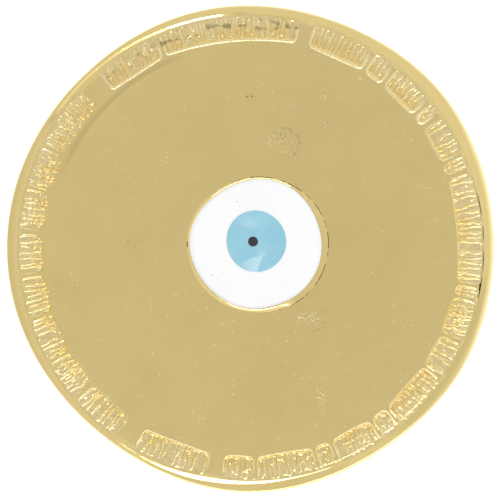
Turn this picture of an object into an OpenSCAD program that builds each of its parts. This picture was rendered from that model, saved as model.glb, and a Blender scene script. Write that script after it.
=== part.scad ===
// Evil eye ornament: a round gold-plated brass disc that lies face up on a felt pad.
// A rim rounded on its outside runs round the plate, nearly level with the face. A border
// of separately struck panels is let into the face just inside the rim, and an enamelled
// eye sits a little off the middle in an eccentric bezel.
//
// Millimetres, +Z up. The origin is under the middle of the disc, on the surface that
// the felt stands on. Angles round the border run clockwise from +Y, seen from above.

/* [Disc] */
// Diameter over the rim
disc_d = 100; // [96:1:110]
// Thickness of the plate
plate_t = 4; // [3.5:0.1:6]
// Thickness of the felt pad
pad_t = 1; // [0.8:0.1:2]
// How far the pad stops short of the outside of the rim
pad_inset = 5; // [4:0.5:10]

/* [Rim] */
// Mean width of the rim
rim_w = 2.15; // [2:0.05:2.8]
// How far the rim stands above the face
rim_rise = 0.05; // [0.05:0.05:0.8]
// How far the rim reaches below the plate
rim_skirt = 0.4; // [0.2:0.1:0.6]

/* [Border] */
// Length of the panels along the radius
panel_w = 5; // [4:0.1:5.4]
// How far a long panel's inner edge bows towards the middle of the disc
panel_bow = 0.5; // [0.1:0.1:0.8]
// Depth of the pockets that the panels sit in
pocket_depth = 1; // [0.9:0.1:1.4]
// Thickness of a panel's floor
panel_floor = 0.45; // [0.3:0.05:0.6]
// Width of the lip round a panel
lip_w = 0.28; // [0.2:0.02:0.36]
// Distance from one raised stroke to the next
stroke_pitch = 1.05; // [0.95:0.05:1.4]
// Width of a raised stroke
stroke_w = 0.4; // [0.3:0.05:0.45]

/* [Eye] */
// Outer diameter of the bezel
bezel_d = 28.5; // [26:0.5:34]
// Mean thickness of the bezel's wall
bezel_wall = 0.85; // [0.8:0.05:1.2]
// How far the bezel stands above the face
bezel_rise = 0.7; // [0.5:0.1:1.2]
// Height of the dome of the white
eye_dome = 0.5; // [0.3:0.1:0.8]
// Diameter of the iris
iris_d = 12.4; // [10:0.2:15]
// Diameter of the pupil
pupil_d = 2.2; // [1.6:0.1:4]

/* [Hidden] */
$fn = 96;
cut = 1;              // how far a cut runs past the face that it opens

// Heights
lip_rise = 0.05;      // how far a panel's lip stands above the face
stroke_drop = 0.05;   // how far the raised strokes stop below the face
plate_z = pad_t;
face_z = plate_z + plate_t;
pocket_z = face_z - pocket_depth;
stroke_h = pocket_depth - stroke_drop;
lip_h = pocket_depth + lip_rise;

// Radii of the disc
fit_gap = 0.04;       // play round a panel
rim_r = disc_d / 2;
plate_r = rim_r - rim_w;
pad_r = rim_r - pad_inset;
panel_out = plate_r - fit_gap;
panel_in = panel_out - panel_w;
panel_mid = (panel_in + panel_out) / 2;

// Rim: the plate and its border were struck a little off the middle of the rim, so the
// rim is wider on one side than on the other
plate_at = [-0.12, -0.33];
rim_foot = 0.8;       // rounding of the rim's outer bottom edge

// Border
panel_corner = 1.1;   // radius of a panel's corners
bow_span = 12;        // degrees from which a panel's inner edge has its full bow
corner_steps = 5;     // straight pieces in one rounded corner
arc_step = 2.5;       // degrees from one point of a panel's long edge to the next
stroke_inset = 0.35;  // room between the strokes and the lip
short_reed = 0.6;     // length of every other reed, as a share of the full length
chevron_lean = 9;     // degrees that a chevron's strokes lean
bead_stroke = 0.3;    // length of the strokes beside a bead, as a share of the full length
bead_r = stroke_pitch * 0.4;
lozenge_half = stroke_pitch * 0.42;

// Where each panel starts and ends, in degrees clockwise from +Y
PANELS = [
    [-24, 12.5], [15.5, 32], [32.5, 38.5], [39, 50.5], [51, 54.5], [55.5, 66],
    [66.5, 70], [71, 99.5], [100, 103], [103.5, 114], [114.5, 124], [124.5, 139.5],
    [140, 145], [145.5, 157.5], [158, 162.5], [163, 178.5], [179, 187.5],
    [191, 210.5], [215.5, 229], [229.5, 240], [240.5, 251.5], [252, 262.5],
    [263, 273.5], [274.5, 285], [285.5, 296], [296.5, 313], [318.5, 335.5]
];

// Eye: each layer has its own centre, because it was set by hand
bezel_at = [1.4, 0.3];
white_at = [0.8, 0.35];
iris_at = [1, 1];
pupil_at = [0.35, 0.95];
bezel_r = bezel_d / 2;
white_r = bezel_r - bezel_wall;
iris_r = iris_d / 2;
pupil_r = pupil_d / 2;
bezel_round = 0.4;     // rounding of the bezel's outer top edge
white_edge = 0.35;     // how far the white's edge stands above the face
iris_depth = 0.7;      // depth of the iris in the white
iris_rise = 0.12;      // how far the iris stands above the white
iris_fall = 0.1;       // how far the iris's edge lies below the top of the white
pupil_depth = 0.4;     // depth of the pupil in the iris
pupil_rise = 0.04;     // how far the pupil stands above the iris

// Radius of the ball whose cap is `rise` high over a circle of radius r
function cap_r(r, rise) = (r * r + rise * rise) / (2 * rise);

white_ball_r = cap_r(white_r, eye_dome);
white_ball_z = face_z + white_edge + eye_dome - white_ball_r;
white_top = face_z + white_edge + eye_dome;
iris_ball_r = cap_r(iris_r, iris_rise + iris_fall);
iris_top = white_top + iris_rise;
iris_z = white_top - iris_depth;
pupil_z = iris_top - pupil_depth;

function panel_name(i) = str("border_panel_", i < 9 ? "0" : "", i + 1);

// A point of the border, from its radius and its angle clockwise from +Y
function on_border(r, a) = [r * sin(a), r * cos(a)];

// Degrees that an arc of length s takes up at radius r
function arc_deg(s, r) = s / r * 180 / PI;

// One rounded corner of a panel. side is 1 at the end of the panel and -1 at its
// start, out is 1 on the rim side and -1 on the face side.
function panel_corner_points(r, a, side, out, c) = [
    for (k = [0 : corner_steps])
        let (t = 90 * k / corner_steps)
        on_border(r - out * c * (1 - cos(t)), a - side * arc_deg(c * (1 - sin(t)), r))
];

// How far the inner edge bows in at `x`, which runs from -1 at the start to 1 at the end
function bow(span_deg, x) = panel_bow * min(1, span_deg / bow_span) * (1 - x * x);

function reversed(list) = [for (i = [len(list) - 1 : -1 : 0]) list[i]];

// Outline of a panel, drawn in by `inset` all round and carried `overrun` past the rim's side
function panel_outline(from, to, inset, overrun) =
    let (
        r_in = panel_in + inset,
        r_out = panel_out - inset + overrun,
        start = from + arc_deg(inset, panel_mid),
        end = to - arc_deg(inset, panel_mid),
        c = panel_corner - inset,
        c_in = arc_deg(c, r_in),
        c_out = arc_deg(c, r_out),
        n = ceil((end - start) / arc_step) + 1
    )
    concat(
        panel_corner_points(r_out, end, 1, 1, c),
        reversed(panel_corner_points(r_in, end, 1, -1, c)),
        [for (i = [1 : n - 1]) on_border(
            r_in - bow(to - from, 1 - 2 * i / n),
            end - c_in - (end - start - 2 * c_in) * i / n
        )],
        panel_corner_points(r_in, start, -1, -1, c),
        reversed(panel_corner_points(r_out, start, -1, 1, c)),
        [for (i = [1 : n - 1]) on_border(r_out, start + c_out + (end - start - 2 * c_out) * i / n)]
    );

module panel_shape(span, inset, overrun = 0) {
    polygon(panel_outline(span[0], span[1], inset, overrun));
}

// Moves its children to the middle of the plate, at height z
module at_plate(z) {
    translate([plate_at[0], plate_at[1], z]) children();
}

// Places its children on the border, +Y outward
module at_border(a) {
    rotate([0, 0, -a]) translate([0, panel_mid, 0]) children();
}

// A raised stroke, `high` long, centred `y` out from the middle of the border
module stroke(high, y, lean) {
    rotate([0, 0, lean])
        translate([-stroke_w / 2, y - high / 2, 0])
            cube([stroke_w, high, stroke_h]);
}

// Two strokes joined by a half ring on the rim side
module arch(high) {
    outer = stroke_pitch / 2 + stroke_w / 2;
    inner = stroke_pitch / 2 - stroke_w / 2;
    foot = -high / 2;
    spring = high / 2 - outer;
    linear_extrude(stroke_h) {
        for (side = [-1, 1])
            translate([side * stroke_pitch / 2 - stroke_w / 2, foot])
                square([stroke_w, spring - foot]);
        translate([0, spring]) intersection() {
            difference() {
                circle(outer);
                circle(inner);
            }
            translate([-outer, 0]) square([2 * outer, outer]);
        }
    }
}

// Two short strokes with a bead between them
module bead(high) {
    for (side = [-1, 1])
        stroke(high * bead_stroke, side * high * (1 - bead_stroke) / 2, 0);
    cylinder(h = stroke_h, r = bead_r);
}

// A diamond that stands on its point
module lozenge(high) {
    linear_extrude(stroke_h)
        polygon([[0, high / 2], [lozenge_half, 0], [0, -high / 2], [-lozenge_half, 0]]);
}

// One repeat of ornament number `kind`
module motif(kind, k, high) {
    if (kind == 0) stroke(k % 2 == 0 ? high : high * short_reed, 0, 0);
    if (kind == 1 && k % 2 == 0) translate([stroke_pitch / 2, 0, 0]) arch(high);
    if (kind == 2) stroke(high, 0, k % 2 == 0 ? chevron_lean : -chevron_lean);
    if (kind == 3) bead(high);
    if (kind == 4) lozenge(high);
}

module border_panel(i) {
    span = PANELS[i];
    length = (span[1] - span[0]) * PI / 180 * panel_mid;
    room = length - 2 * (lip_w + stroke_inset) - stroke_w;
    repeats = 2 * floor((floor(room / stroke_pitch) + 1) / 2);
    first = (span[0] + span[1]) / 2 - arc_deg((repeats - 1) * stroke_pitch / 2, panel_mid);
    color("goldenrod") at_plate(pocket_z) {
        linear_extrude(panel_floor) panel_shape(span, 0);
        linear_extrude(lip_h) difference() {
            panel_shape(span, 0);
            panel_shape(span, lip_w);
        }
        for (k = [0 : repeats - 1])
            at_border(first + arc_deg(k * stroke_pitch, panel_mid))
                motif(i % 5, k, panel_w - 2 * (lip_w + stroke_inset));
    }
}

module base_pad() {
    color("saddlebrown") cylinder(h = pad_t, r = pad_r);
}

module disc_plate() {
    color("gold") difference() {
        at_plate(plate_z) cylinder(h = plate_t, r = plate_r);
        for (span = PANELS)
            at_plate(pocket_z)
                linear_extrude(pocket_depth + cut) panel_shape(span, -fit_gap, 2 * panel_corner);
        translate([bezel_at[0], bezel_at[1], pocket_z])
            cylinder(h = pocket_depth + cut, r = bezel_r);
    }
}

// The rim has a flat top and a wide rounding outside
module rim_ring() {
    roll = rim_w / 2;
    low = plate_z - rim_skirt;
    high = face_z + rim_rise;
    core = plate_r - norm(plate_at) - cut;
    color("khaki") difference() {
        rotate_extrude() {
            translate([core, low]) square([rim_r - roll - core, high - low]);
            translate([core, low]) square([rim_r - rim_foot - core, high - roll - low]);
            translate([core, low + rim_foot]) square([rim_r - core, high - roll - low - rim_foot]);
            translate([rim_r - roll, high - roll]) circle(roll);
            translate([rim_r - rim_foot, low + rim_foot]) circle(rim_foot);
        }
        at_plate(low - cut) cylinder(h = high - low + 2 * cut, r = plate_r);
    }
}

module eye_bezel() {
    high = pocket_depth + bezel_rise;
    color("gold") difference() {
        translate([bezel_at[0], bezel_at[1], pocket_z]) rotate_extrude() {
            square([bezel_r - bezel_round, high]);
            square([bezel_r, high - bezel_round]);
            translate([bezel_r - bezel_round, high - bezel_round]) circle(bezel_round);
        }
        translate([white_at[0], white_at[1], pocket_z - cut])
            cylinder(h = high + 2 * cut, r = white_r);
    }
}

module eye_white() {
    color("white") difference() {
        intersection() {
            translate([white_at[0], white_at[1], pocket_z])
                cylinder(h = white_top - pocket_z, r = white_r);
            translate([white_at[0], white_at[1], white_ball_z]) sphere(white_ball_r);
        }
        translate([iris_at[0], iris_at[1], iris_z]) cylinder(h = iris_depth + cut, r = iris_r);
    }
}

module eye_iris() {
    color("skyblue") difference() {
        intersection() {
            translate([iris_at[0], iris_at[1], iris_z])
                cylinder(h = iris_top - iris_z, r = iris_r);
            translate([iris_at[0], iris_at[1], iris_top - iris_ball_r]) sphere(iris_ball_r);
        }
        translate([pupil_at[0], pupil_at[1], pupil_z])
            cylinder(h = pupil_depth + cut, r = pupil_r);
    }
}

module eye_pupil() {
    color("black") translate([pupil_at[0], pupil_at[1], pupil_z])
        cylinder(h = pupil_depth + pupil_rise, r = pupil_r);
}

base_pad();
disc_plate();
rim_ring();
eye_bezel();
eye_white();
eye_iris();
eye_pupil();
for (i = [0 : len(PANELS) - 1])
    border_panel(i);
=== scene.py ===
"""An evil eye ornament: a gold-plated disc with a rounded rim, let-in border panels and
an enamelled eye. Lengths are millimetres until solid() turns them into metres, and angles round
the border run clockwise from +Y in degrees, as they do in the CAD model."""
import math

import bmesh
import bpy
import numpy as np
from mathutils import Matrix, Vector
from mathutils.geometry import delaunay_2d_cdt


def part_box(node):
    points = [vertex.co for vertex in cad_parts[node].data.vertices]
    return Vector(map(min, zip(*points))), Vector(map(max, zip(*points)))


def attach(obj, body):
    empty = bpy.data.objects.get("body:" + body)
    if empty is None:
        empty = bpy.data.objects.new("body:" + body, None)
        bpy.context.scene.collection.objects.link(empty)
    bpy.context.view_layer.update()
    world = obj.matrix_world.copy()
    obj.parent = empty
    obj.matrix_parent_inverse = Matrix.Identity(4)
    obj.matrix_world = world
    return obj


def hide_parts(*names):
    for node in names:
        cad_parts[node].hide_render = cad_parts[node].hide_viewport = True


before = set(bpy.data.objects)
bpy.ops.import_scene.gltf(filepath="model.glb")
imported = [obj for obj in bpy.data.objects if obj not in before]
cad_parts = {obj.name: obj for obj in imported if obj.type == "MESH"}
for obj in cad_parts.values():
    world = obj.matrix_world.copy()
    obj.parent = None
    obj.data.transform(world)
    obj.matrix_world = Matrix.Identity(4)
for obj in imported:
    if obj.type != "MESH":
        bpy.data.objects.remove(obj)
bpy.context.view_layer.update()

MM = 0.001


# ---------------------------------------------------------------- sizes from the CAD frame

def box_mm(node):
    low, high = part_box(node)
    return np.array(low) / MM, np.array(high) / MM


def cad_points(node):
    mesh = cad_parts[node].data
    points = np.empty(len(mesh.vertices) * 3)
    mesh.vertices.foreach_get("co", points)
    return points.reshape(-1, 3) / MM


def round_node(node):
    """Centre and radius of an upright round node."""
    low, high = box_mm(node)
    return (low[:2] + high[:2]) / 2, (high[0] - low[0]) / 2


PLATE_LOW, PLATE_HIGH = box_mm("disc_plate")
RIM_LOW, RIM_HIGH = box_mm("rim_ring")
FACE_Z = PLATE_HIGH[2]
BACK_Z = PLATE_LOW[2]
PLATE_AT, PLATE_R = round_node("disc_plate")
RIM_R = RIM_HIGH[0]
RIM_FOOT = RIM_LOW[2]
POCKET_Z = box_mm("eye_bezel")[0][2]
BEZEL_AT, BEZEL_R = round_node("eye_bezel")
WHITE_AT, WHITE_R = round_node("eye_white")
IRIS_AT, IRIS_R = round_node("eye_iris")
PUPIL_AT, PUPIL_R = round_node("eye_pupil")
PAD_R = round_node("base_pad")[1]
PAD_TOP = box_mm("base_pad")[1][2]
WHITE_TOP = box_mm("eye_white")[1][2]
IRIS_TOP = box_mm("eye_iris")[1][2]
PUPIL_TOP = box_mm("eye_pupil")[1][2]
PANEL_NODES = sorted(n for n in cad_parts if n.startswith("border_panel"))


# ---------------------------------------------------------------- small helpers

def clockwise(x, y):
    """Degrees clockwise from +Y."""
    return np.degrees(np.arctan2(x, y))


def from_clockwise(r, degrees):
    a = np.radians(degrees)
    return np.stack([r * np.sin(a), r * np.cos(a)], axis=-1)


def smooth(low, high, x):
    t = np.clip((x - low) / (high - low), 0, 1)
    return t * t * (3 - 2 * t)


def between(degrees, start, end, soft=4):
    """1 between two clockwise angles, falling to 0 over `soft` degrees outside them."""
    middle, half = (start + end) / 2, (end - start) / 2
    off = np.abs((degrees - middle + 180) % 360 - 180)
    return 1 - smooth(half, half + soft, off)


def ripple(x, y, size, seed, waves=24):
    """A smooth random field of about -1 to 1 with features about `size` across."""
    rng = np.random.default_rng(seed)
    total = np.zeros(np.broadcast(x, y).shape)
    for _ in range(waves):
        way = rng.uniform(0, 2 * math.pi)
        k = 2 * math.pi / (size * rng.uniform(1.2, 3.2))
        total += np.sin(k * (x * math.cos(way) + y * math.sin(way)) + rng.uniform(0, 2 * math.pi))
    return total / math.sqrt(waves)


def hand_wave(degrees, size, seed, orders=(1, 2, 3, 4, 5, 6)):
    """A closed wandering line round the disc, about -size to size."""
    rng = np.random.default_rng(seed)
    total = np.zeros(np.shape(degrees))
    for k in orders:
        total += rng.uniform(0.5, 1) * np.cos(np.radians(k * np.asarray(degrees)) + rng.uniform(0, 6.28))
    return size * total / len(orders) ** 0.5


def solid(name, points, faces, sharp_degrees=60):
    mesh = bpy.data.meshes.new(name)
    mesh.from_pydata((np.asarray(points, float) * MM).tolist(), [], faces)
    mesh.update()
    mesh.shade_smooth()
    mesh.set_sharp_from_angle(angle=math.radians(sharp_degrees))
    piece = bpy.data.objects.new(name, mesh)
    bpy.context.scene.collection.objects.link(piece)
    return piece


def attribute(piece, name, values):
    layer = piece.data.attributes.new(name, "FLOAT", "POINT")
    layer.data.foreach_set("value", np.asarray(values, np.float32))


def place(piece, node, material):
    piece.data.materials.append(material)
    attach(piece, "root")
    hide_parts(node)
    return piece


def ring_faces(rows, columns, closed_rows=False):
    """Quads of a grid that closes on itself along its columns."""
    faces = []
    last = rows if closed_rows else rows - 1
    for i in range(last):
        a, b = i * columns, (i + 1) % rows * columns
        for j in range(columns):
            k = (j + 1) % columns
            faces.append((a + j, a + k, b + k, b + j))
    return faces


# ---------------------------------------------------------------- the border panels' outline

class Panel:
    """Where a panel lies: s runs clockwise along its middle and y out towards the rim."""
    corner = 1.1

    def __init__(self, node):
        points = cad_points(node)[:, :2] - PLATE_AT
        middle = math.atan2(points[:, 0].mean(), points[:, 1].mean())
        angles = np.arctan2(points[:, 0], points[:, 1]) - middle
        turned = np.degrees((angles + math.pi) % (2 * math.pi) - math.pi)
        r = np.hypot(points[:, 0], points[:, 1])
        self.name = node
        self.middle = math.degrees(middle) + (turned.min() + turned.max()) / 2
        self.span = turned.max() - turned.min()
        self.r_out = r.max() - 0.08
        self.bow = 0.5 * min(1, self.span / 12)
        self.r_in = r.min() + self.bow
        self.r_mid = (self.r_in + self.r_out) / 2
        self.half = math.radians(self.span) * self.r_mid / 2
        self.half_w = (self.r_out - self.r_in) / 2
        self.cord = float(between(self.middle, -45, 55, 15))
        self.line = float(between(self.middle, 124, 216, 15))

    def bow_at(self, s):
        return self.bow * (1 - np.clip(s / self.half, -1, 1) ** 2)

    def rows_at(self, s, grow=0.0):
        """Lowest and highest y of the outline at s."""
        c = self.corner + grow
        over = np.clip(np.abs(s) - (self.half + grow - c), 0, c)
        cut = c - np.sqrt(np.maximum(c * c - over * over, 0))
        return -self.half_w - self.bow_at(s) - grow + cut, self.half_w + grow - cut

    def depth(self, s, y):
        """Distance inward from the outline."""
        low = -self.half_w - self.bow_at(s)
        centre, half_w = (low + self.half_w) / 2, (self.half_w - low) / 2
        qx = np.abs(s) - (self.half - self.corner)
        qy = np.abs(y - centre) - (half_w - self.corner)
        out = np.hypot(np.maximum(qx, 0), np.maximum(qy, 0)) + np.minimum(np.maximum(qx, qy), 0)
        return self.corner - out

    def to_plane(self, s, y):
        return PLATE_AT + from_clockwise(self.r_mid + y, self.middle + np.degrees(s / self.r_mid))

    def outline(self, grow, step=0.22):
        """Closed loop of points, `grow` outside the panel."""
        half, c = self.half + grow, self.corner + grow
        turns = np.linspace(0, math.pi / 2, 8)
        flat = np.linspace(-(half - c), half - c, max(3, int(2 * (half - c) / step)))[1:-1]
        ends = half - c + c * np.sin(turns)
        s = np.concatenate([-ends[::-1], flat, ends])
        low, high = self.rows_at(s, grow)
        return np.concatenate([self.to_plane(s, high), self.to_plane(s[::-1], low[::-1])])


PANELS = [Panel(n) for n in PANEL_NODES]
POCKET_PLAY = 0.012     # room between a panel and its pocket


# ---------------------------------------------------------------- outlines of the eye

# The lobes of a hand-formed outline: how many, how high in mm, and where the first one lies
# in degrees anticlockwise from +X. All but the rim's first and the white's first two are
# rounded Fourier terms of the photo's outlines, made by a scratch script (see report.md)
RIM_LOBES = [(1, 0.34, -55), (2, 0.18, 18), (3, 0.21, 43), (4, 0.22, 3), (5, 0.20, -30), (6, 0.12, -26)]
WHITE_LOBES = [(1, 0.23, 16), (2, 0.15, 15), (3, 0.15, 64), (4, 0.13, -15)]


def wander(lobes, degrees):
    """How far a hand-formed outline lies outside its circle."""
    return sum(high * np.cos(np.radians(count * (degrees - first))) for count, high, first in lobes)


def white_outline(theta):
    """Radius of the white's hand-formed edge round WHITE_AT."""
    return WHITE_R - 0.02 + wander(WHITE_LOBES, np.degrees(theta))


def bezel_outline(theta):
    """Radius of the bezel's outer edge round BEZEL_AT."""
    return BEZEL_R * (1 + 0.023 * np.cos(2 * theta) - 0.005 * np.cos(3 * theta)
                      + 0.003 * np.sin(5 * theta))


def polar(centre, radius, theta):
    return np.stack([centre[0] + radius * np.cos(theta), centre[1] + radius * np.sin(theta)], axis=-1)


# ---------------------------------------------------------------- the face

# Centre and half sizes of the two hollows of the face
CRATER = (6.7, 21.2, 3.3, 3.1)
DIMPLE = (12.4, -15.3, 2.7, 2.2)
# Clockwise angles between which a dent runs along the border, and the rim's fold past it
DENT_START, DENT_END = 300, 333
FOLD_START, FOLD_END = 308, 352


def face_height(x, y):
    """Height of the hand-polished face over its true plane."""
    r = np.hypot(x, y)
    z = 0.035 * ripple(x, y, 14, 11) + 0.0035 * ripple(x, y, 2.2, 12) + 0.0010 * ripple(x, y, 0.9, 13)
    z = z + crater(x, y) + dimple(x, y) + small_marks(x, y)
    edge = smooth(40.6, 41.3, r) * (1 - smooth(41.3, 42.2, r))
    z = z - 0.07 * edge * between(clockwise(x, y), DENT_START, DENT_END, 12)
    from_plate = np.hypot(x - PLATE_AT[0], y - PLATE_AT[1])
    return z - edge_fall(from_plate - PLATE_R, clockwise(x, y))


def crater(x, y):
    """The shallow grainy hollow above the eye."""
    d = np.hypot((x - CRATER[0]) / CRATER[2], (y - CRATER[1]) / CRATER[3]) + 0.08 * ripple(x, y, 1.6, 21)
    grain = 0.014 * ripple(x, y, 0.42, 22) + 0.014 * ripple(x, y, 0.9, 23)
    return (grain - 0.06) * (1 - smooth(0.3, 1.05, d))


def dimple(x, y):
    """The grainy hollow at the lower right of the bezel."""
    d = np.hypot((x - DIMPLE[0]) / DIMPLE[2], (y - DIMPLE[1]) / DIMPLE[3]) + 0.10 * ripple(x, y, 1.4, 31)
    return (0.014 * ripple(x, y, 0.42, 32) - 0.05) * (1 - smooth(0.2, 1.05, d))


# Centre, half sizes and height of the small bumps (+) and nicks (-) of the face
MARKS = [
    (-0.3, 30.6, 0.5, 0.3, -0.05), (8.0, 28.7, 0.4, 0.3, 0.03), (14.8, 30.6, 0.6, 0.4, -0.08),
    (14.5, -31.5, 0.5, 1.2, 0.06), (14.9, -34.4, 0.4, 0.9, -0.07), (22.4, 34.5, 0.25, 0.25, -0.12),
    (38.1, 5.4, 0.7, 0.3, -0.07), (-20.9, -12.1, 0.2, 1.4, -0.04), (-38.0, -7.6, 2.6, 1.2, -0.04),
    (-34.0, -9.4, 2.0, 1.0, -0.03), (3.0, -28.0, 0.4, 0.3, 0.05), (-30.0, 20.0, 0.5, 0.4, -0.05),
    (28.0, -20.0, 0.5, 0.3, 0.05), (-12.0, 34.0, 0.4, 0.3, 0.05), (33.0, 22.0, 0.4, 0.3, -0.06),
]


def small_marks(x, y):
    """Height of the bumps and nicks, a pitted ring and a rough patch."""
    z = np.zeros(np.shape(x))
    for cx, cy, a, b, h in MARKS:
        z = z + h * np.exp(-(((x - cx) / a) ** 2 + ((y - cy) / b) ** 2))
    ring = np.hypot(x - 19.3, y - 5.8)
    z = z + 0.05 * np.exp(-((ring - 0.7) / 0.22) ** 2) * smooth(-0.6, 0.3, 19.6 - x)
    patch = np.exp(-(((x + 25.2) / 2.2) ** 2 + ((y - 0.7) / 1.4) ** 2))
    return z + 0.02 * patch * ripple(x, y, 0.5, 41)


# Worn patches of the face: centre, half sizes, and how strong their pale and dark grains are
PATCHES = [
    (4.0, 21.6, 1.0, 1.5, 0.9, 0.0), (8.2, 19.6, 1.5, 1.9, 0.7, 0.25),
    (6.6, 22.8, 2.2, 1.4, 0.3, 0.5), (10.2, -14.8, 0.9, 0.7, 1.8, 0.0),
    (12.0, -14.6, 1.6, 1.3, 0.9, 0.2), (13.8, -14.2, 1.4, 1.2, 0.4, 0.3),
    (-0.3, 30.6, 0.7, 0.5, 0.0, 1.2), (14.8, 30.6, 0.6, 0.5, 1.2, 0.6),
    (14.0, -30.7, 1.0, 1.6, 1.2, 0.2), (-37.0, -8.0, 3.0, 1.6, 0.2, 0.2),
    (14.5, 25.0, 1.2, 1.6, 0.6, 0.1), (8.4, 28.8, 0.8, 0.6, 0.9, 0.0),
    (-25.2, 0.7, 2.0, 1.2, 0.5, 0.2),
]


def wear_and_shade(x, y):
    """How pale and how dark the grains of the worn patches are, from 0 to 1; the dark also holds painted
    shade along one side of each hollow's edge and in the dent by the border.
    """
    pale_grain = smooth(0.2, 1.1, ripple(x, y, 0.38, 42))
    dark_grain = smooth(0.2, 1.1, ripple(x, y, 0.34, 43))
    pale, dark = np.zeros(np.shape(x)), np.zeros(np.shape(x))
    for cx, cy, a, b, light, shade in PATCHES:
        near = np.exp(-(((x - cx) / a) ** 2 + ((y - cy) / b) ** 2))
        pale = pale + light * near * pale_grain
        dark = dark + shade * near * dark_grain
    # Painted shade: a dark arc along one side of each hollow's edge
    for (cx, cy, a, b), start, end in ((CRATER, -5, 150), (DIMPLE, 100, 175)):
        d = np.hypot((x - cx) / a, (y - cy) / b)
        arc = np.exp(-((d - 0.98) / 0.07) ** 2) * between(clockwise(x - cx, y - cy), start, end, 18)
        dark = dark + 0.18 * arc * smooth(-0.6, 0.5, ripple(x, y, 0.6, 44))
    # Painted shade in the dent that runs along the border at the upper left
    r = np.hypot(x, y)
    edge = smooth(40.4, 41.2, r) * (1 - smooth(41.2, 42.4, r))
    dark = dark + 0.16 * edge * between(clockwise(x, y), DENT_START, DENT_END, 12)
    return np.clip(pale, 0, 1), np.clip(dark, 0, 1)


def crevice(degrees):
    """1 where the bezel has parted from the face, at an angle clockwise round the bezel."""
    broken = smooth(-0.9, 0.2, hand_wave(degrees, 1, 55, (13, 29, 41, 67)))
    return np.maximum(between(degrees, -15, 158, 14) * broken, bezel_nick(degrees))


def bezel_nick(degrees):
    """1 at the nick in the left end of the bezel: a dark spot of painted shade, since the bezel's shape
    has no nick.
    """
    return between(degrees, 268.6, 272.2, 0.8)


SEAM_START, SEAM_END = 79, 101


def seam(degrees):
    """1 where the rim has parted from the border."""
    broken = smooth(-0.5, 0.2, hand_wave(degrees, 1, 51, (9, 17, 31, 47)) + 0.35)
    return between(degrees, SEAM_START, SEAM_END, 3) * broken


def edge_fall(x, degrees):
    """How far the border falls towards the rim, x out from the plate's edge."""
    middle = -0.95 + 0.3 * smooth(140, 157, degrees)
    bright_line = between(degrees, 132, 160, 8) * smooth(middle - 0.17, middle + 0.17, x)
    return 0.12 * np.maximum(x + 0.7, 0) + 0.07 * bright_line


def edge_dip(x, y):
    """How far the plate's edge sinks into the groove along the rim."""
    r = np.hypot(x - PLATE_AT[0], y - PLATE_AT[1])
    return 0.5 * seam(clockwise(x, y)) * smooth(PLATE_R - 0.10, PLATE_R - 0.03, r)


def inside(points, loop):
    """Even-odd test of many points against one closed loop."""
    x, y = points[:, 0], points[:, 1]
    hit = np.zeros(len(points), bool)
    nxt = np.roll(loop, -1, axis=0)
    for (x0, y0), (x1, y1) in zip(loop, nxt):
        if y0 != y1:
            cross = (y0 > y) != (y1 > y)
            hit ^= cross & (x < (x1 - x0) * (y - y0) / (y1 - y0) + x0)
    return hit


# Centre and radius of the parts of the face that need a finer mesh
ROUGH_FACE = [(6.7, 21.4, 4.4), (12.1, -15.0, 3.4)]


def face_seeds():
    """Points spread over the face in rings, closer together where it is rough."""
    points = []
    r, step = 12.5, 0.42
    while r < PLATE_R - 0.2:
        n = int(2 * math.pi * r / step)
        points.append(polar(PLATE_AT, r, (np.arange(n) + 0.5 * (len(points) % 2)) * 2 * math.pi / n))
        r += step * 0.87
    for cx, cy, size in ROUGH_FACE:
        side = np.arange(-size, size, 0.17)
        u, v = np.meshgrid(side, side)
        near = np.hypot(u, v) < size
        points.append(np.stack([cx + u[near] + 0.013, cy + v[near] + 0.017], axis=-1))
    for cx, cy, a, b, _h in MARKS:
        u, v = np.meshgrid(np.arange(-2.2 * a, 2.2 * a, 0.15), np.arange(-2.2 * b, 2.2 * b, 0.15))
        points.append(np.stack([cx + u.ravel() + 0.03, cy + v.ravel() + 0.05], axis=-1))
    return np.concatenate(points)


def clear_seeds():
    """The seeds that lie clear of the bezel, the plate's edge and the pockets."""
    seeds = face_seeds()
    keep = np.hypot(*(seeds - BEZEL_AT).T) > BEZEL_R + 0.6
    from_middle = seeds - PLATE_AT
    r, a = np.hypot(*from_middle.T), clockwise(*from_middle.T)
    keep &= r < PLATE_R - 0.12
    for p in PANELS:
        s = np.radians((a - p.middle + 180) % 360 - 180) * p.r_mid
        near = (np.abs(s) < p.half + 1) & (r > p.r_in - 1.2)
        keep &= ~(near & (p.depth(s, r - p.r_mid) > -0.14))
    return seeds[keep]


def face_triangles(rim, holes):
    """Points and triangles between the rim and the holes, and the loops' points among them."""
    loops = [rim] + holes
    points = np.concatenate(loops + [clear_seeds()])
    edges, start = [], 0
    for loop in loops:
        n = len(loop)
        edges += [(start + i, start + (i + 1) % n) for i in range(n)]
        start += n
    found = delaunay_2d_cdt([Vector(p) for p in points], edges, [], 0, 1e-5)
    flat = np.array([(v.x, v.y) for v in found[0]])
    tris = np.array([f for f in found[2]])
    centre = flat[tris].mean(axis=1)
    shown = np.hypot(*(centre - PLATE_AT).T) < PLATE_R
    for loop in holes:
        low, high = loop.min(axis=0), loop.max(axis=0)
        near = np.nonzero(np.all((centre > low) & (centre < high), axis=1))[0]
        shown[near[inside(centre[near], loop)]] = False
    tris = tris[shown]
    given = np.zeros(len(points), int)
    for number, sources in enumerate(found[3]):
        given[sources] = number
    used = np.unique(tris)
    renumber = np.full(len(flat), -1)
    renumber[used] = np.arange(len(used))
    return flat[used], renumber[tris], renumber[given]


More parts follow.
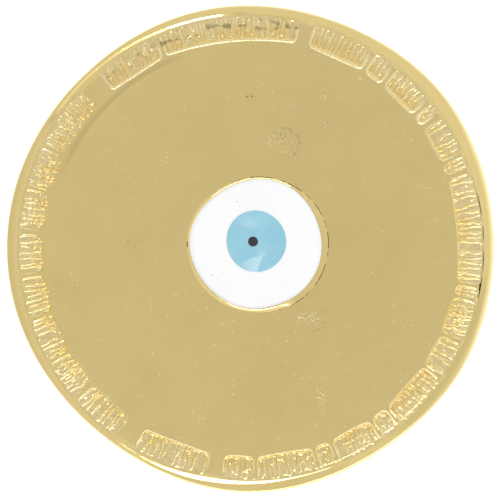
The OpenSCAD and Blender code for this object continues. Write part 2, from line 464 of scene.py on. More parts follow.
def make_plate(material):
    turn = np.linspace(0, 2 * math.pi, 360, endpoint=False)
    bezel = polar(BEZEL_AT, bezel_outline(turn), turn)
    rim = polar(PLATE_AT, PLATE_R, np.linspace(0, 2 * math.pi, 1200, endpoint=False))
    holes = [p.outline(POCKET_PLAY) for p in PANELS] + [bezel]
    flat, tris, given = face_triangles(rim, holes)
    x, y = flat.T
    z = FACE_Z + face_height(x, y) - edge_dip(x, y)
    top = np.column_stack([x, y, z])
    faces = [tuple(t) for t in tris.tolist()]
    pale, dark = wear_and_shade(x, y)
    # Painted shade in the groove where the rim has parted, added to the dark grains and painted shade from
    # above
    points, grime_and_shade = [top], [np.maximum(smooth(0.1, 0.5, edge_dip(x, y)), dark)]
    count, first = len(top), 0
    for loop, floor in [(rim, BACK_Z)] + [(h, POCKET_Z) for h in holes]:
        n = len(loop)
        upper = given[first:first + n].tolist()
        first += n
        points.append(np.column_stack([loop, np.full(n, floor)]))
        # Painted shade on the pocket's wall where the bezel has parted from the face
        parted = crevice(clockwise(*(loop - BEZEL_AT).T)) if loop is bezel else np.zeros(n)
        grime_and_shade.append(parted)
        lower = list(range(count, count + n))
        for i in range(n):
            j = (i + 1) % n
            faces.append((upper[i], upper[j], lower[j], lower[i]))
        faces.append(tuple(lower))
        count += n
    piece = solid("plate", np.concatenate(points), faces, 35)
    recalculate(piece)
    attribute(piece, "grime_and_shade", np.concatenate(grime_and_shade))
    attribute(piece, "matt", np.concatenate([pale, np.zeros(count - len(pale))]))
    return place(piece, "disc_plate", material)


def recalculate(piece):
    """Turns every face of a closed piece outward."""
    mesh = bmesh.new()
    mesh.from_mesh(piece.data)
    bmesh.ops.recalc_face_normals(mesh, faces=mesh.faces)
    mesh.to_mesh(piece.data)
    mesh.free()


# ---------------------------------------------------------------- the border panels

FLOOR_DROP = 0.42                       # depth of a panel's floor on its inner side
STROKE_LOW, STROKE_HIGH = -2.0, 2.3     # ends of the strokes across the border
STROKE_PITCH = 1.05
STROKE_HALF_WIDTH = 0.17
# Each ornament below gives the lines of its stroke number k, which stands at x


def reeds(k, x, rng):
    return [[(x, STROKE_LOW + (k % 2) * rng.uniform(0, 1.2)), (x, STROKE_HIGH)]]


def arcade(k, x, rng):
    if k % 2:
        return []
    r = STROKE_PITCH / 2
    turns = np.linspace(0, math.pi, 7)
    arch = [(x + r - r * math.cos(t), STROKE_HIGH - r + r * math.sin(t)) for t in turns]
    return [[(x, STROKE_LOW)] + arch + [(x + 2 * r, STROKE_LOW)]]


def lozenges(k, x, rng):
    w = STROKE_PITCH * 0.36
    middle = (STROKE_LOW + STROKE_HIGH) / 2
    return [[(x, STROKE_HIGH), (x + w, middle), (x, STROKE_LOW), (x - w, middle), (x, STROKE_HIGH)]]


def beads(k, x, rng):
    middle = (STROKE_LOW + STROKE_HIGH) / 2
    return [[(x, STROKE_LOW), (x, middle - 0.75)], [(x, middle - 0.12), (x, middle + 0.12)],
            [(x, middle + 0.75), (x, STROKE_HIGH)]]


def chevrons(k, x, rng):
    lean = rng.uniform(0.12, 0.28) if k % 2 == 0 else rng.uniform(-0.28, -0.12)
    return [[(x - lean, STROKE_LOW), (x + lean, STROKE_HIGH)]]


ORNAMENTS = [reeds, arcade, chevrons, beads, lozenges]


def stroke_height(panel, index, end_room, s, y):
    """0 on the panel's floor and 1 on top of its raised ornament."""
    rng = np.random.default_rng(100 + index)
    room = 2 * (panel.half - end_room)
    count = max(2, 2 * int((room / STROKE_PITCH + 1) / 2))
    height = np.zeros(s.shape)
    bend_s = s + 0.10 * ripple(s, y, 1.4, 200 + index)
    bend_y = y + 0.10 * ripple(s, y, 1.8, 300 + index)
    for k in range(count):
        x = (k - (count - 1) / 2) * STROKE_PITCH + rng.uniform(-0.2, 0.2)
        lean = rng.uniform(-0.07, 0.07)
        width = STROKE_HALF_WIDTH * rng.uniform(0.7, 1.6)
        tall = rng.uniform(0.6, 1.0)
        lines = ORNAMENTS[index % len(ORNAMENTS)](k, x, rng)
        worn_away = k % 3 == 1 and rng.random() < 0.2
        for line in [] if worn_away else lines:
            line = [(px + lean * py, py + rng.uniform(-0.05, 0.05)) for px, py in line]
            for (x0, y0), (x1, y1) in zip(line, line[1:]):
                dx, dy = x1 - x0, y1 - y0
                long2 = dx * dx + dy * dy
                t = np.clip(((bend_s - x0) * dx + (bend_y - y0) * dy) / long2, 0, 1)
                off = np.hypot(bend_s - x0 - t * dx, bend_y - y0 - t * dy)
                height = np.maximum(height, tall * (1 - smooth(width - 0.05, width + 0.16, off)))
    return height


def graded(half, fine, coarse, border):
    """Samples from -half to half, finer within `border` of both ends."""
    inner = np.linspace(-(half - border), half - border, max(3, int(2 * (half - border) / coarse)))
    outer = np.linspace(0, border, max(3, int(border / fine)))[1:]
    return np.concatenate([-(half - border) - outer[::-1], inner, half - border + outer])


def panel_lip(panel, s, y):
    """Height of the raised lip: a broad cord on the upper panels, a thin line on the lower ones."""
    d = panel.depth(s, y)
    across = (y + panel.half_w) / (2 * panel.half_w)
    broad = 0.135 * panel.cord * np.exp(-((d - 0.40) / 0.30) ** 2)
    thin = 0.08 * panel.line * np.exp(-((d - 0.22) / 0.16) ** 2)
    return (broad + thin) * (1 - smooth(0.45, 0.8, across))


def panel_relief(panel, index, s, y):
    """Height of a panel over the face: a lip, a recess that rises towards the rim, and strokes."""
    d = panel.depth(s, y)
    cord, line = panel.cord, panel.line
    across = (y + panel.half_w) / (2 * panel.half_w)
    wall = 0.04 + (0.62 * cord + 0.30 * line) * (1 - 0.7 * smooth(0.5, 0.9, across))
    fall = smooth(wall, wall + 0.45, d)
    outward = smooth(0.1, 1.0, across)
    floor = -FLOOR_DROP * (1 - 0.75 * outward) + 0.02 * ripple(s, y, 1.3, 400 + index)
    top = -0.03 + 0.03 * outward
    room = 0.5 + 0.62 * cord + 0.30 * line
    strokes = stroke_height(panel, index, room, s, y) * smooth(0.0, 0.3, d)
    cast = 0.018 * ripple(s, y, 0.30, 500 + index) + 0.045 * ripple(s, y, 0.9, 600 + index)
    side = edge_fall(panel.r_mid + y - PLATE_R, panel.middle + np.degrees(s / panel.r_mid))
    return panel_lip(panel, s, y) + fall * (floor + (top - floor) * strokes + cast) - side - 0.005


# Clockwise angles of the panels that have patches of painted shadow on their floors
SHADOW_START, SHADOW_END = 332, 376


def make_panel(panel, index, material):
    """A closed solid: the relief on a grid, walls down to the pocket, and a flat underside."""
    s_line = graded(panel.half, 0.045, 0.065, 1.1)
    v_line = (graded(1, 0.022, 0.030, 0.25) + 1) / 2
    low, high = panel.rows_at(s_line)
    s = np.broadcast_to(s_line[None, :], (len(v_line), len(s_line)))
    y = low[None, :] + v_line[:, None] * (high - low)[None, :]
    z = panel_relief(panel, index, s, y)
    flat = panel.to_plane(s, y).reshape(-1, 2)
    top = np.column_stack([flat, FACE_Z + z.ravel()])
    rows, cols = s.shape
    faces = []
    for i in range(rows - 1):
        for j in range(cols - 1):
            a = i * cols + j
            faces.append((a, a + cols, a + cols + 1, a + 1))
    loop = list(range(cols))
    loop += [i * cols + cols - 1 for i in range(1, rows)]
    loop += [(rows - 1) * cols + j for j in range(cols - 2, -1, -1)]
    loop += [i * cols for i in range(rows - 2, 0, -1)]
    base = len(top)
    bottom = top[loop].copy()
    bottom[:, 2] = POCKET_Z + 0.02
    for k in range(len(loop)):
        m = (k + 1) % len(loop)
        faces.append((loop[k], loop[m], base + m, base + k))
    faces.append(tuple(range(base, base + len(loop))))
    piece = solid(panel.name.replace("border_", ""), np.concatenate([top, bottom]), faces, 50)
    recalculate(piece)
    # Painted shadow on the floors of the upper left panels
    in_shadow = between(panel.middle, SHADOW_START, SHADOW_END, 10) * np.exp(-((y - 0.5) / 1.2) ** 2)
    dark = 0.5 * in_shadow * smooth(0.4, 1.1, ripple(s, y, 1.1, 700 + index))
    # Painted highlight: the lips are made paler
    pale = 4 * panel_lip(panel, s, y)
    attribute(piece, "grime_and_shade", np.concatenate([dark.ravel(), np.zeros(len(loop))]))
    attribute(piece, "matt", np.concatenate([pale.ravel(), np.zeros(len(loop))]))
    return place(piece, panel.name, material)


# ---------------------------------------------------------------- the rim

def rim_outline(degrees):
    """Radius of the rim's outside, which was filed by hand."""
    return RIM_R - 0.10 + wander(RIM_LOBES, 90 - degrees)


def rim_tilt(degrees, x):
    """Outward slope in degrees of the rim's top, x from its inner edge."""
    facet_mid = -0.06 + 0.70 * smooth(162, 202, degrees) - 0.25 * smooth(204, 215, degrees)
    facet_half = 0.26 + 0.18 * between(degrees, 180, 192, 14)
    at_foot = between(degrees, 162, 214, 8)
    facet = at_foot * (1 - smooth(facet_half - 0.1, facet_half + 0.1, np.abs(x - facet_mid)))
    ledge = at_foot * smooth(facet_half, facet_half + 0.2, x - facet_mid)
    fold_mid = 0.62 - 0.4 * smooth(312, 350, degrees)
    fold = between(degrees, FOLD_START, FOLD_END, 9) * (1 - smooth(0.22, 0.42, np.abs(x - fold_mid)))
    flat_left = between(degrees, 245, 300, 20) * smooth(0, 2, x)
    flat_right = between(degrees, 105, 135, 12) * (1 - smooth(0.6, 1.6, x))
    return 7 + 7 * facet - 3 * ledge - 31.4 * fold - 7.5 * flat_left - 6 * flat_right


def rim_rows(a, parted):
    """Radius and height of the rim's rows: up its inside, over its top and down its outside."""
    turns = len(a)
    inner = PLATE_R + from_clockwise(1, a) @ PLATE_AT + 0.01 + 0.035 * parted
    out = rim_outline(a)
    level = FACE_Z - edge_fall(0, a) + hand_wave(a, 0.012, 62) - 0.12 * between(a, FOLD_START, FOLD_END, 9)
    corner = 0.35 + 0.25 * between(a, 0, 160, 25) + 0.65 * between(a, 68, 106, 18)
    edge, foot = 0.02, 0.9
    rows = [(inner, np.full(turns, RIM_FOOT)), (inner, np.full(turns, BACK_Z + 1)), (inner, level - 0.6)]
    for t in np.radians(np.linspace(0, 90, 5)):
        rows.append((inner + edge * (1 - math.cos(t)), level - edge * (1 - math.sin(t))))
    start, brink = inner + edge, out - corner
    steps = 28
    for k in range(1, steps + 1):
        r = start + (brink - start) * k / steps
        tilt = rim_tilt(a, r - inner)
        level = level - (brink - start) / steps * np.tan(np.radians(tilt))
        rows.append((r, level))
    for t in np.radians(np.linspace(12, 90, 9)):
        rows.append((brink + corner * math.sin(t), level - corner * (1 - math.cos(t))))
    rows.append((out, np.full(turns, RIM_FOOT + foot + 0.6)))
    for t in np.radians(np.linspace(0, 90, 7)):
        rows.append((out - foot * (1 - math.cos(t)), np.full(turns, RIM_FOOT + foot * (1 - math.sin(t)))))
    return rows


def make_rim(material):
    turns = 1080
    a = np.linspace(0, 360, turns, endpoint=False)
    parted = seam(a)
    rows = rim_rows(a, parted)
    points = []
    for r, z in rows:
        flat = from_clockwise(r, a)
        x, slant = flat[:, 0], flat[:, 1] + z
        bump = 0.012 * ripple(x, slant, 6, 64) + 0.002 * ripple(x, slant, 1.2, 65)
        points.append(np.column_stack([flat, z + bump * (z > RIM_FOOT + 1)]))
    piece = solid("rim", np.concatenate(points), ring_faces(len(rows), turns, True), 50)
    recalculate(piece)
    row = np.repeat(np.arange(len(rows)), turns)
    corner_row = len(rows) - 17     # the first row of the outer top corner
    # Painted shade on the inner wall where the rim has parted from the border
    parted_wall = np.tile(parted, len(rows)) * (row < 5)
    # Painted shade that darkens the outer wall, which would otherwise reflect the bright floor
    painted_wall_shade = 0.35 * smooth(corner_row + 6, corner_row + 9, row)
    attribute(piece, "grime_and_shade", np.maximum(parted_wall, painted_wall_shade))
    # Painted highlight: the outer corner is paler, and also rougher
    attribute(piece, "matt", 0.5 * smooth(corner_row - 3, corner_row + 4, row))
    return place(piece, "rim_ring", material)


# ---------------------------------------------------------------- the eye

def make_bezel(material):
    """A low ring, broad on the right, with its crest near the white."""
    turns = 720
    t = np.linspace(0, 2 * math.pi, turns, endpoint=False)
    outer = polar(BEZEL_AT, bezel_outline(t), t)
    way = np.arctan2(outer[:, 1] - WHITE_AT[1], outer[:, 0] - WHITE_AT[0])
    inner = polar(WHITE_AT, white_outline(way), way)
    wall = np.hypot(*(outer - inner).T)
    degrees = clockwise(*(outer - BEZEL_AT).T)
    parted, nick = crevice(degrees), bezel_nick(degrees)
    gap = 0.14 * parted
    crest = wall * (0.88 - 0.42 * between(degrees, -85, 30, 15))
    broad = between(degrees, 35, 145, 20)
    thin = between(degrees, 215, 300, 15)
    lumps = 0.02 * between(degrees, 15, 65, 10) * (1 + ripple(outer[:, 0], outer[:, 1], 0.7, 71))

    def drop(x):
        """Fall of the outer slope, x from the crest."""
        return (0.24 - 0.12 * broad + 0.2 * thin) * x + 0.45 * (1 - broad) * x ** 2

    top = FACE_Z + 0.02 + drop(crest - gap) + lumps
    points = []

    def ring(across, z):
        flat = outer + (inner - outer) * (across / wall)[:, None]
        points.append(np.column_stack([flat, np.broadcast_to(z, (turns,))]))

    for z in (POCKET_Z, FACE_Z - 0.3, FACE_Z - 0.02):
        ring(gap, z)
    for u in np.linspace(0, 1, 14):
        x = (crest - gap) * (1 - u)
        ring(crest - x, top - drop(x) - lumps * (1 - u))
    for u in np.linspace(0, 1, 6)[1:]:
        ring(crest + (wall - crest) * u, top - (wall - crest) * (0.20 * u + 0.28 * u * u))
    ring(wall, FACE_Z - 0.2)
    ring(wall, POCKET_Z)
    piece = solid("bezel", np.concatenate(points), ring_faces(len(points), turns, True), 50)
    recalculate(piece)
    # Painted shade in the crevice along the outer wall, and on the painted nick
    grime_and_shade = [np.maximum(parted * (row < 3), nick * (row < 12)) for row in range(len(points))]
    attribute(piece, "grime_and_shade", np.concatenate(grime_and_shade))
    return place(piece, "eye_bezel", material)


def make_white(material):
    """The white field: a low dome with a rolled edge and a faint groove round the iris."""
    turns, rings = 360, 60
    t = np.linspace(0, 2 * math.pi, turns, endpoint=False)
    edge = white_outline(t) - 0.02
    points = []
    for u in np.linspace(1, 0.02, rings):
        flat = polar(WHITE_AT, edge * u, t)
        away = np.hypot(*(flat - IRIS_AT).T)
        z = WHITE_TOP - 0.6 * u ** 2 - 0.12 * smooth(0.93, 1.0, u)
        z = z + 0.02 * ripple(flat[:, 0], flat[:, 1], 9, 81)
        z = z - 0.05 * np.exp(-((away - IRIS_R) / 0.25) ** 2)
        points.append(np.column_stack([flat, z]))
    points = [np.column_stack([polar(WHITE_AT, edge, t), np.full(turns, POCKET_Z)])] + points
    faces = ring_faces(len(points), turns)
    last = (len(points) - 1) * turns
    faces.append(tuple(range(last, last + turns)))
    faces.append(tuple(range(turns)))
    piece = solid("white", np.concatenate(points), faces, 60)
    recalculate(piece)
    shade = [smooth(0.94, 1.0, u) for u in [1] + list(np.linspace(1, 0.02, rings))]
    attribute(piece, "shade", np.repeat(shade, turns))
    return place(piece, "eye_white", material)


def iris_light_and_shade(x, y):
    """Painted highlights and painted shade on the iris, x and y from its centre: -0.5 to 1."""
    wedge = smooth(2.35, 2.65, 0.465 * x - 0.885 * y) * smooth(-2.4, -2.1, 0.334 * y - 0.943 * x)
    wedge = wedge * (1 - smooth(-3.5, -3.0, y - 0.1 * x))
    bead = np.exp(-((x - 1.2) ** 2 + (y + 2.6) ** 2) / 0.7)
    upper = np.exp(-(((x + 1.4) / 2.0) ** 2 + ((y - 3.8) / 1.1) ** 2))
    upper = upper * smooth(0.0, 0.4, y - 1.3 + 0.41 * x)
    crease = np.exp(-((y - 1.5 + 0.41 * x) / 0.12) ** 2)
    crease = crease * smooth(-5.2, -4.6, x) * (1 - smooth(-0.6, 0.0, x))
    spot = np.exp(-((x - 3.6) ** 2 + (y - 0.1) ** 2) / 0.25)
    slope = 0.12 * smooth(1, 5, x)
    return wedge * smooth(-4.5, 0.2, x) + 0.6 * bead + 0.55 * upper - 0.35 * crease - 0.3 * spot - slope


def make_dome(name, node, centre, radius, top, dome, base, wave, material):
    """A disc `dome` higher in the middle, from `base` to `top`, its edge wavy by the share `wave`."""
    turns = 240
    t = np.linspace(0, 2 * math.pi, turns, endpoint=False)
    edge = radius * (1 + wave * np.cos(2 * t + 2.6) + 0.4 * wave * np.cos(3 * t))
    points = [np.column_stack([polar(centre, edge, t), np.full(turns, base)])]
    roll = 0.12
    for u in np.linspace(0, 1, 5):
        shrink = roll * (1 - math.cos(u * math.pi / 2))
        fall = roll * (1 - math.sin(u * math.pi / 2))
        flat = polar(centre, edge - shrink, t)
        points.append(np.column_stack([flat, np.full(turns, top - dome - fall)]))
    for u in np.linspace(1, 0.03, 26)[1:]:
        flat = polar(centre, (edge - roll) * u, t)
        uneven = 0.004 * ripple(flat[:, 0], flat[:, 1], 3, 91)
        points.append(np.column_stack([flat, top - dome * u ** 2 + uneven]))
    faces = ring_faces(len(points), turns)
    last = (len(points) - 1) * turns
    faces.append(tuple(range(last, last + turns)))
    faces.append(tuple(range(turns)))
    piece = solid(name, np.concatenate(points), faces, 60)
    recalculate(piece)
    from_middle = np.concatenate(points)[:, :2] - centre
    # Painted light and shade of the iris, read only by the blue enamel
    attribute(piece, "pane", iris_light_and_shade(*from_middle.T))
    return place(piece, node, material)


# ---------------------------------------------------------------- the felt

# The felt's section, from the middle of its underside: share of its radius and of its height
FELT_SECTION = [
    (0.02, 0), (0.3, 0), (0.6, 0), (0.85, 0), (0.97, 0),
    (0.994, 0.12), (1, 0.4), (0.998, 0.75), (0.99, 1),
]


def make_pad(material):
    """A round sheet of felt with a soft, slightly ragged edge."""
    turns = 540
    t = np.linspace(0, 2 * math.pi, turns, endpoint=False)
    top = PAD_TOP - 0.01
    points = []
    for share, z in FELT_SECTION:
        ragged = 1 + 0.0022 * share ** 8 * ripple(PAD_R * np.cos(t), PAD_R * np.sin(t), 1.1, 95)
        flat = polar((0, 0), PAD_R * share * ragged, t)
        lump = 0.03 * (1 + ripple(flat[:, 0], flat[:, 1], 3, 96)) * (share < 0.97)
        points.append(np.column_stack([flat, np.clip(z * top + lump, 0.0, top)]))
    faces = ring_faces(len(points), turns)
    faces.append(tuple(range(turns)))
    last = (len(points) - 1) * turns
    faces.append(tuple(range(last, last + turns)))
    piece = solid("felt", np.concatenate(points), faces, 60)
    recalculate(piece)
    place(piece, "base_pad", material)
    return piece


# ---------------------------------------------------------------- materials

class Nodes:
    """Short names for building a material's node tree."""

    def __init__(self, name):
        self.material = bpy.data.materials.new(name)
        self.material.use_nodes = True
        self.tree = self.material.node_tree
        self.shader = self.tree.nodes["Principled BSDF"]
        self.place = self.add("ShaderNodeTexCoord").outputs["Object"]

    def add(self, kind, **settings):
        node = self.tree.nodes.new(kind)
        for key, value in settings.items():
            setattr(node, key, value)
        return node

    def link(self, source, target):
        self.tree.links.new(source, target)

    def noise(self, size_mm, detail=3, rough=0.5, distort=0.0):
        node = self.add("ShaderNodeTexNoise")
        node.inputs["Scale"].default_value = 1 / (size_mm * MM)
        node.inputs["Detail"].default_value = detail
        node.inputs["Roughness"].default_value = rough
        node.inputs["Distortion"].default_value = distort
        self.link(self.place, node.inputs["Vector"])
        return node.outputs["Fac"]

    def cells(self, size_mm):
        node = self.add("ShaderNodeTexVoronoi")
        node.inputs["Scale"].default_value = 1 / (size_mm * MM)
        self.link(self.place, node.inputs["Vector"])
        return node

    def point(self, name):
        """A value stored on the mesh's points."""
        return self.add("ShaderNodeAttribute", attribute_name=name).outputs["Fac"]

    def channel(self, colour):
        """The red channel of a colour."""
        node = self.add("ShaderNodeSeparateColor")
        self.link(colour, node.inputs[0])
        return node.outputs[0]

    def distance(self, centre):
        """Distance across the face from a point, in metres."""
        parts = self.add("ShaderNodeSeparateXYZ")
        self.link(self.place, parts.inputs[0])
        x = self.math("SUBTRACT", parts.outputs["X"], centre[0])
        y = self.math("SUBTRACT", parts.outputs["Y"], centre[1])
        squares = self.math("ADD", self.math("POWER", x, 2.0), self.math("POWER", y, 2.0))
        return self.math("SQRT", squares, 0.0)

    def ramp(self, source, low, high, start=0.0, end=1.0):
        node = self.add("ShaderNodeMapRange")
        node.inputs["From Min"].default_value = low
        node.inputs["From Max"].default_value = high
        node.inputs["To Min"].default_value = start
        node.inputs["To Max"].default_value = end
        self.link(source, node.inputs["Value"])
        return node.outputs["Result"]

    def mix(self, factor, first, second):
        node = self.add("ShaderNodeMix", data_type="RGBA")
        for value, socket in ((first, "A"), (second, "B")):
            target = next(s for s in node.inputs if s.name == socket and s.type == "RGBA")
            if isinstance(value, tuple):
                target.default_value = (*value, 1)
            else:
                self.link(value, target)
        self.link(factor, node.inputs["Factor"])
        return next(s for s in node.outputs if s.type == "RGBA")

    def math(self, operation, first, second):
        node = self.add("ShaderNodeMath", operation=operation)
        for value, socket in ((first, 0), (second, 1)):
            if isinstance(value, (int, float)):
                node.inputs[socket].default_value = value
            else:
                self.link(value, node.inputs[socket])
        return node.outputs[0]

    def bump(self, height, distance_mm, strength=1.0, normal=None):
        node = self.add("ShaderNodeBump")
        node.inputs["Distance"].default_value = distance_mm * MM
        node.inputs["Strength"].default_value = strength
        self.link(height, node.inputs["Height"])
        if normal:
            self.link(normal, node.inputs["Normal"])
        return node.outputs["Normal"]


# Paler metal for worn specks, also used as painted highlight; dark grime, also used as painted shade
PALE_WEAR_AND_HIGHLIGHT = (1.0, 0.90, 0.60)
GRIME_AND_SHADE = (0.05, 0.035, 0.015)


def gold(name, bright, deep, rough, pits, grain_mm=0.0):
    """Polished gold plate: a slow drift of tone, uneven polish, and tiny dull specks.

    It is paler and duller where the piece marks real wear and painted highlights, and darker where it
    marks real grime and painted shade.
    """
    n = Nodes(name)
    n.shader.inputs["Metallic"].default_value = 1.0
    tone = n.mix(n.ramp(n.noise(9, 3), 0.3, 0.7), bright, deep)
    speck = n.cells(0.75)
    few = n.ramp(n.noise(3.5, 3), 0.43, 0.57)
    dot = n.ramp(speck.outputs["Distance"], 0.10, 0.20, 1.0, 0.0)
    lucky = n.ramp(n.channel(speck.outputs["Color"]), 0.35, 0.9)
    dull_and_highlight = n.math("MULTIPLY", n.math("MULTIPLY", dot, lucky), n.math("MULTIPLY", few, pits))
    # The piece's pale values: real wear on the face, painted highlight on the panel lips and the rim's
    # outer corner
    dull_and_highlight = n.math("MAXIMUM", dull_and_highlight, n.point("matt"))
    colour = n.mix(n.math("MULTIPLY", dull_and_highlight, 0.6), tone, PALE_WEAR_AND_HIGHLIGHT)
    # The piece's dark values: grime grains on the face, and painted shade in crevices, seams, dents and on
    # the rim's outer wall
    colour = n.mix(n.point("grime_and_shade"), colour, GRIME_AND_SHADE)
    n.link(colour, n.shader.inputs["Base Color"])
    polish = n.ramp(n.noise(2.5, 4), 0.3, 0.7, rough * 0.75, rough * 1.35)
    n.link(n.math("ADD", polish, n.math("MULTIPLY", dull_and_highlight, 0.5)), n.shader.inputs["Roughness"])
    peel = n.bump(n.noise(1.1, 3), 0.006)
    if grain_mm:
        peel = n.bump(n.noise(0.28, 2), grain_mm, 1.0, peel)
    normal = n.bump(dull_and_highlight, 0.02, 1.0, peel)
    n.link(normal, n.shader.inputs["Normal"])
    return n.material


def enamel(name, colour, other, drift_mm):
    """Fired enamel: nearly even colour, tiny bubbles and a glossy coat."""
    n = Nodes(name)
    base = n.mix(n.ramp(n.noise(drift_mm, 2), 0.3, 0.7), colour, other)
    n.link(n.ramp(n.noise(1.5, 3), 0.3, 0.7, 0.10, 0.20), n.shader.inputs["Roughness"])
    n.shader.inputs["Coat Weight"].default_value = 0.6
    n.shader.inputs["Coat Roughness"].default_value = 0.05
    bubble = n.ramp(n.cells(1.7).outputs["Distance"], 0.03, 0.07, 1.0, 0.0)
    n.link(n.bump(bubble, 0.01, 0.6, n.bump(n.noise(4, 2), 0.01)), n.shader.inputs["Normal"])
    n.link(base, n.shader.inputs["Base Color"])
    return n, base


# Specks of soot in the white: centre in mm, radius in mm and strength
SOOT = [
    (-2.83, 9.04, 0.22, 0.35), (-2.42, 8.15, 0.2, 0.15),
    (-8.08, -5.94, 0.22, 0.35), (-7.1, -6.9, 0.2, 0.25),
]


def white_enamel():
    """White enamel, with painted shade greying it along its edge, and a few specks of soot."""
    n, base = enamel("white_enamel", (0.93, 0.93, 0.93), (0.91, 0.915, 0.92), 8)
    # Painted shade along the white's edge
    base = n.mix(n.math("MULTIPLY", n.point("shade"), 0.2), base, (0.55, 0.56, 0.62))
    for x, y, radius, strength in SOOT:
        away = n.distance((x * MM, y * MM))
        spot = n.ramp(away, 0.4 * radius * MM, 1.3 * radius * MM, strength, 0.0)
        base = n.mix(spot, base, (0.2, 0.2, 0.2))
    n.link(base, n.shader.inputs["Base Color"])
    return n.material


def blue_enamel():
    """Light blue glass, with painted highlights and painted shade worked out for its points."""
    n, base = enamel("blue_enamel", (0.265, 0.555, 0.685), (0.305, 0.595, 0.715), 5)
    # Painted highlights: paler blue
    base = n.mix(n.ramp(n.point("pane"), 0, 1, 0, 0.7), base, (0.56, 0.78, 0.85))
    # Painted shade: deeper blue
    base = n.mix(n.ramp(n.point("pane"), -1, 0, 0.9, 0), base, (0.16, 0.43, 0.58))
    n.link(base, n.shader.inputs["Base Color"])
    return n.material


def black_enamel():
    return enamel("black_enamel", (0.008, 0.013, 0.014), (0.018, 0.024, 0.025), 2)[0].material


def felt():
    """Dark brown wool felt."""
    n = Nodes("felt")
    fibre = n.noise(0.35, 6, 0.7, 1.5)
    colour = n.mix(n.ramp(fibre, 0.35, 0.65), (0.055, 0.038, 0.026), (0.14, 0.10, 0.07))
    n.link(colour, n.shader.inputs["Base Color"])
    n.link(n.ramp(n.noise(3, 2), 0.3, 0.7, 0.88, 1.0), n.shader.inputs["Roughness"])
    n.shader.inputs["Sheen Weight"].default_value = 0.5
    n.link(n.bump(fibre, 0.12, 0.9), n.shader.inputs["Normal"])
    return n.material


def floor_material():
    """A matt white surface that glows a little, as paper does under soft light."""
    n = Nodes("floor")
    n.link(n.mix(n.noise(60, 2), (0.90, 0.90, 0.90), (0.93, 0.93, 0.93)), n.shader.inputs["Base Color"])
    n.shader.inputs["Roughness"].default_value = 0.9
    n.shader.inputs["Specular IOR Level"].default_value = 0.1
    n.shader.inputs["Emission Color"].default_value = (1, 1, 1, 1)
    n.shader.inputs["Emission Strength"].default_value = 0.35
    return n.material


# ---------------------------------------------------------------- stage, lights, camera

def make_floor():
    """A plain sheet just under the felt."""
    size, z = 4000, -0.05
    corners = [(-size, -size, z), (size, -size, z), (size, size, z), (-size, size, z)]
    piece = solid("floor", corners, [(0, 1, 2, 3)])
    piece.data.materials.append(floor_material())


# Height of a direction over the horizon (its Z), its brightness, and how much brighter it is
# towards +X and towards +Y
WORLD_STOPS = [
    (0.0, 0.90, 0.05, 0.0), (0.35, 0.84, 0.10, 0.0), (0.60, 0.80, 0.18, 0.0), (0.80, 0.77, 0.20, 0.0),
    (0.92, 0.74, 0.06, 0.0), (0.97, 0.66, -0.05, 0.0), (1.0, 0.605, -0.08, -0.04),
]


def make_world():
    """A white tent: a grey opening overhead and brighter walls."""
    world = bpy.data.worlds.new("studio")
    bpy.context.scene.world = world
    world.use_nodes = True
    tree = world.node_tree
    sky = tree.nodes["Background"]
    way = tree.nodes.new("ShaderNodeTexCoord").outputs["Generated"]
    parts = tree.nodes.new("ShaderNodeSeparateXYZ")
    tree.links.new(way, parts.inputs[0])
    ramp = tree.nodes.new("ShaderNodeValToRGB")
    for _ in WORLD_STOPS[1:-1]:
        ramp.color_ramp.elements.new(0.5)
    for stop, (height, level, side, front) in zip(ramp.color_ramp.elements, WORLD_STOPS):
        stop.position = height
        stop.color = (level, 0.5 + side, 0.5 + front, 1)
    tree.links.new(parts.outputs["Z"], ramp.inputs[0])
    channels = tree.nodes.new("ShaderNodeSeparateColor")
    tree.links.new(ramp.outputs[0], channels.inputs[0])

    def combine(operation, first, second):
        node = tree.nodes.new("ShaderNodeMath")
        node.operation = operation
        tree.links.new(first, node.inputs[0])
        if isinstance(second, float):
            node.inputs[1].default_value = second
        else:
            tree.links.new(second, node.inputs[1])
        return node.outputs[0]

    total = channels.outputs[0]
    for axis, channel in (("X", 1), ("Y", 2)):
        share = combine("SUBTRACT", channels.outputs[channel], 0.5)
        total = combine("ADD", total, combine("MULTIPLY", share, parts.outputs[axis]))
    tree.links.new(total, sky.inputs["Color"])


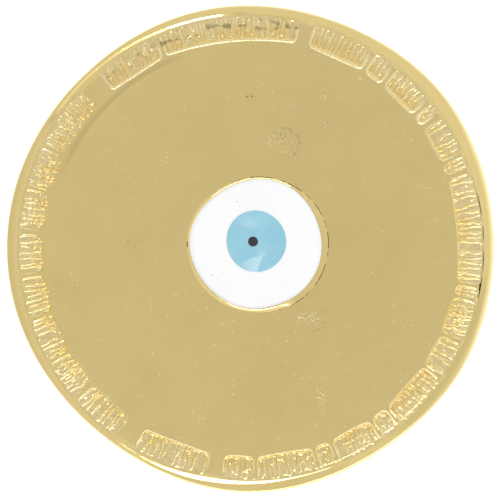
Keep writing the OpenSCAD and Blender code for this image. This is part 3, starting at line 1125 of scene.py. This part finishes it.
def area_light(name, place_m, aim_m, size_m, watts, glossy):
    """A lamp that only reflections see if `glossy`, and only matt surfaces if not."""
    data = bpy.data.lights.new(name, "AREA")
    data.shape = "RECTANGLE"
    data.size, data.size_y = size_m
    data.energy = watts
    lamp = bpy.data.objects.new(name, data)
    bpy.context.scene.collection.objects.link(lamp)
    lamp.location = place_m
    lamp.rotation_euler = (Vector(aim_m) - Vector(place_m)).to_track_quat("-Z", "Y").to_euler()
    lamp.visible_glossy = glossy
    lamp.visible_diffuse = not glossy
    lamp.visible_camera = False
    return lamp


def make_lights():
    area_light("fill", (0, 0, 1.6), (0, 0, 0), (1.6, 1.6), 10, False)
    area_light("front_strip", (0.04, -0.70, 0.85), (0, 0, 0), (1.0, 0.14), 2.67, True)


VIEW_SHARE = 1.0322             # half the picture's width over the disc's radius
VIEW_CENTRE = (-0.27, -0.78)    # what the camera looks straight down at
VIEW_HEIGHT = 2.6               # height over the rim's foot at which that width holds


def make_camera():
    """Straight above, with the disc just above and right of the frame's centre."""
    data = bpy.data.cameras.new("camera")
    data.lens, data.sensor_width = 100, 36
    half_view = data.sensor_width / 2 / data.lens
    camera = bpy.data.objects.new("camera", data)
    bpy.context.scene.collection.objects.link(camera)
    away = RIM_R * VIEW_SHARE / half_view
    x, y = VIEW_CENTRE
    camera.location = (x * MM, y * MM, (RIM_FOOT + VIEW_HEIGHT + away) * MM)
    data.clip_start = 0.01
    bpy.context.scene.camera = camera


# ---------------------------------------------------------------- build

bpy.context.scene.view_settings.view_transform = "Standard"
make_camera()
make_world()
make_lights()
make_floor()

GOLD = (1.0, 0.79, 0.34)
make_plate(gold("gold_plate", GOLD, (0.955, 0.75, 0.315), 0.10, 0.8))
make_rim(gold("gold_rim", GOLD, (0.97, 0.765, 0.325), 0.08, 0.3))
border_gold = gold("gold_border", (0.96, 0.787, 0.41), (0.935, 0.75, 0.345), 0.07, 0.0, grain_mm=0.03)
for number, panel in enumerate(PANELS):
    make_panel(panel, number, border_gold)
make_bezel(gold("gold_bezel", GOLD, (0.98, 0.765, 0.32), 0.10, 0.3))
make_white(white_enamel())
make_dome("iris", "eye_iris", IRIS_AT, IRIS_R, IRIS_TOP, 0.15, POCKET_Z + 1.2, 0.018,
          blue_enamel())
make_dome("pupil", "eye_pupil", PUPIL_AT, PUPIL_R * 0.95, PUPIL_TOP, 0.03, PUPIL_TOP - 0.4, 0.01,
          black_enamel())
make_pad(felt())
